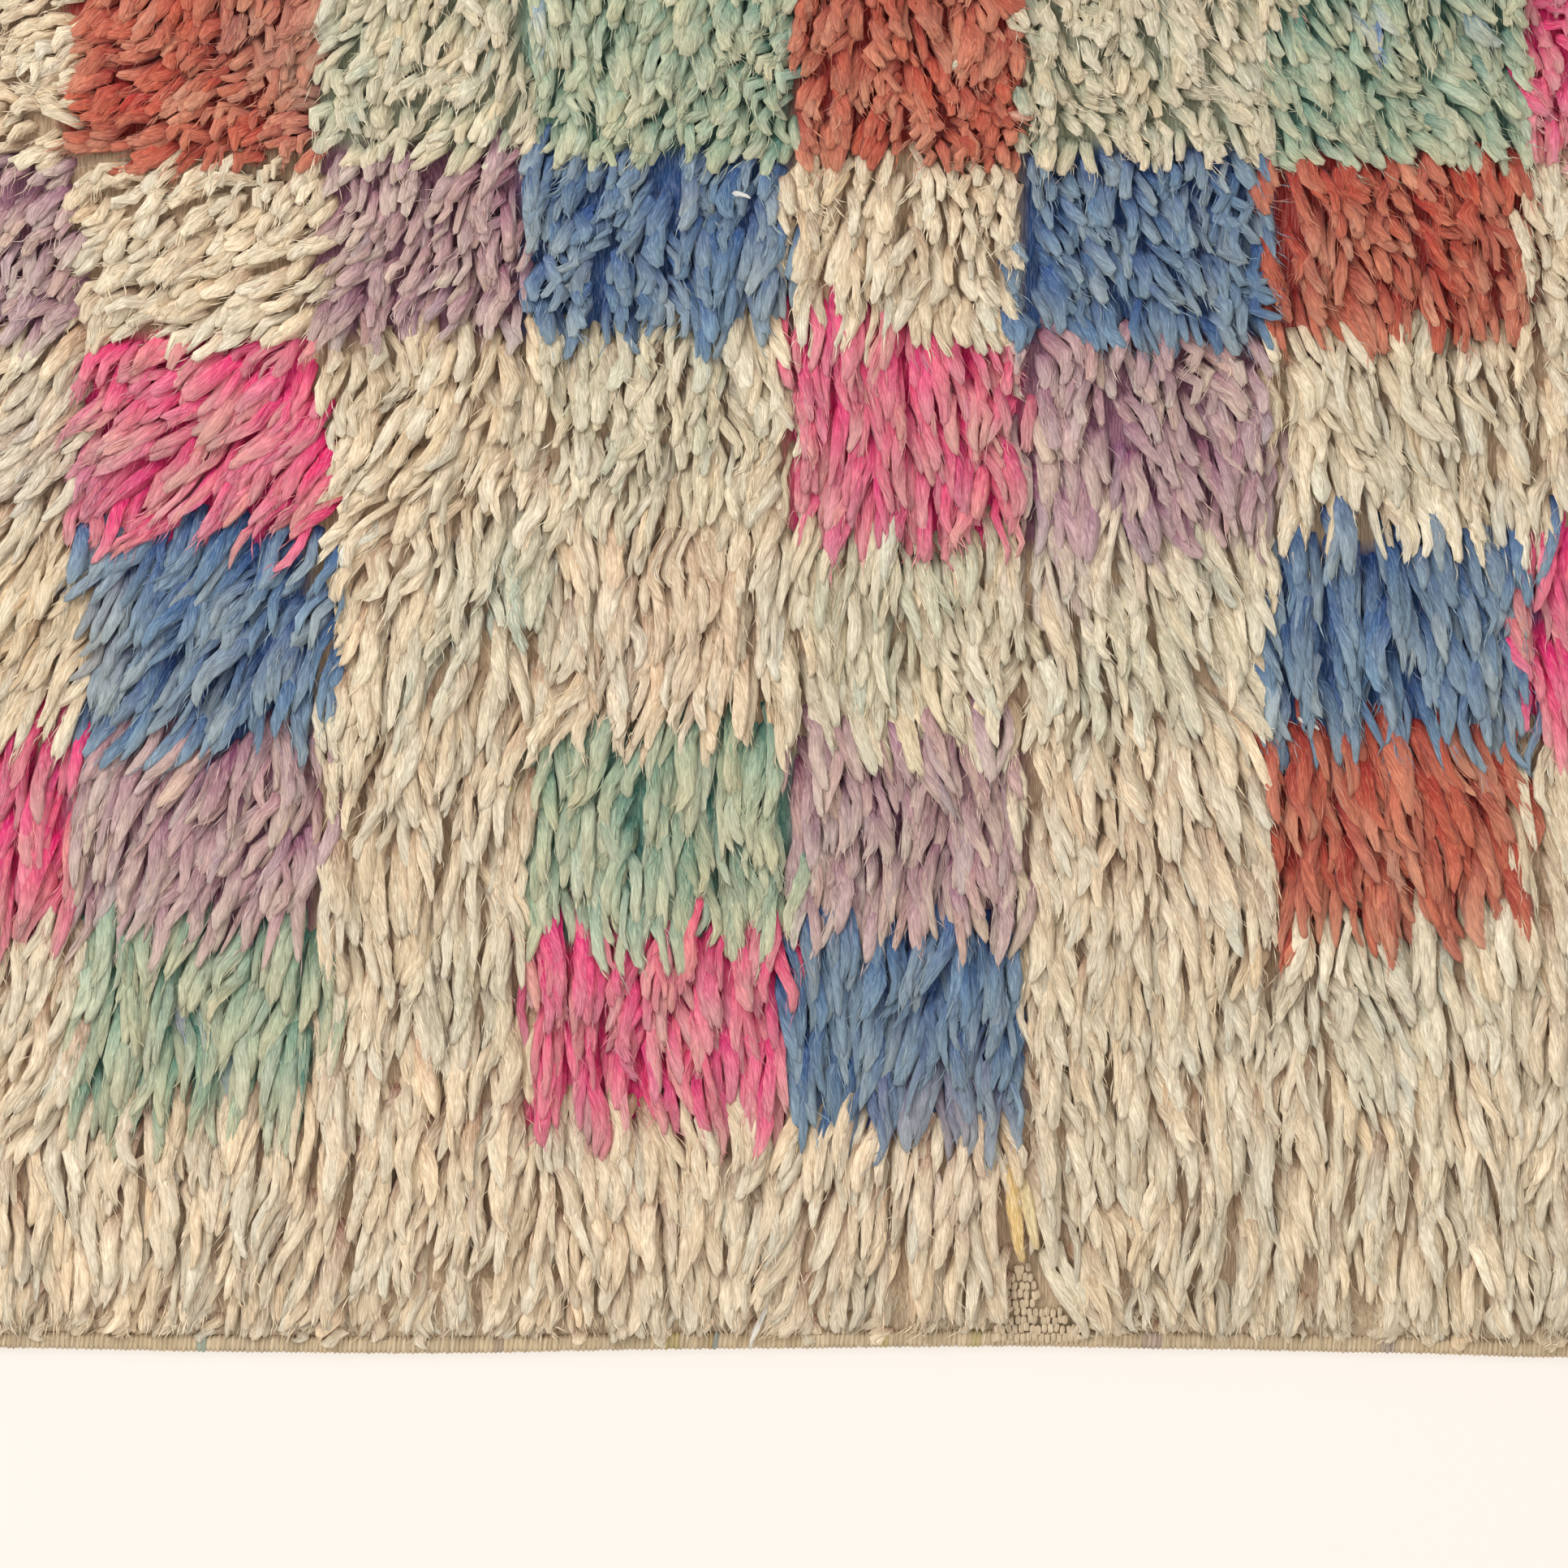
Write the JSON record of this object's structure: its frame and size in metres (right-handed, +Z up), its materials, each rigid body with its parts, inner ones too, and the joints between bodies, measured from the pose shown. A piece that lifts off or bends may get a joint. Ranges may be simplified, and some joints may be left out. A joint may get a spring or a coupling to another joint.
{
  "type": "moroccan rug",
  "caption": "Flat rectangular shag rug with a thick combed wool pile in a chequer of dyed squares and an overcast edge on all four sides.",
  "frame": {"origin": "centre of the rug's underside, on the floor", "axes": "+X across the rug to its right side, +Y along it to the back end, against the lie of the pile, +Z up out of the pile"},
  "size_m": [0.967, 0.864, 0.0292],
  "materials": {
    "pile_wool": "thick two-ply wool pile, matt and fuzzy, dyed in faded squares of cream, pink, blue, terracotta, sage and mauve",
    "edge_wool": "matt khaki wool yarn wrapped closely round the border"
  },
  "bodies": {
    "root": {"knotted_pile": "pile_wool", "edge_front": "edge_wool", "edge_back": "edge_wool", "edge_left": "edge_wool", "edge_right": "edge_wool"}
  },
  "joints": []
}
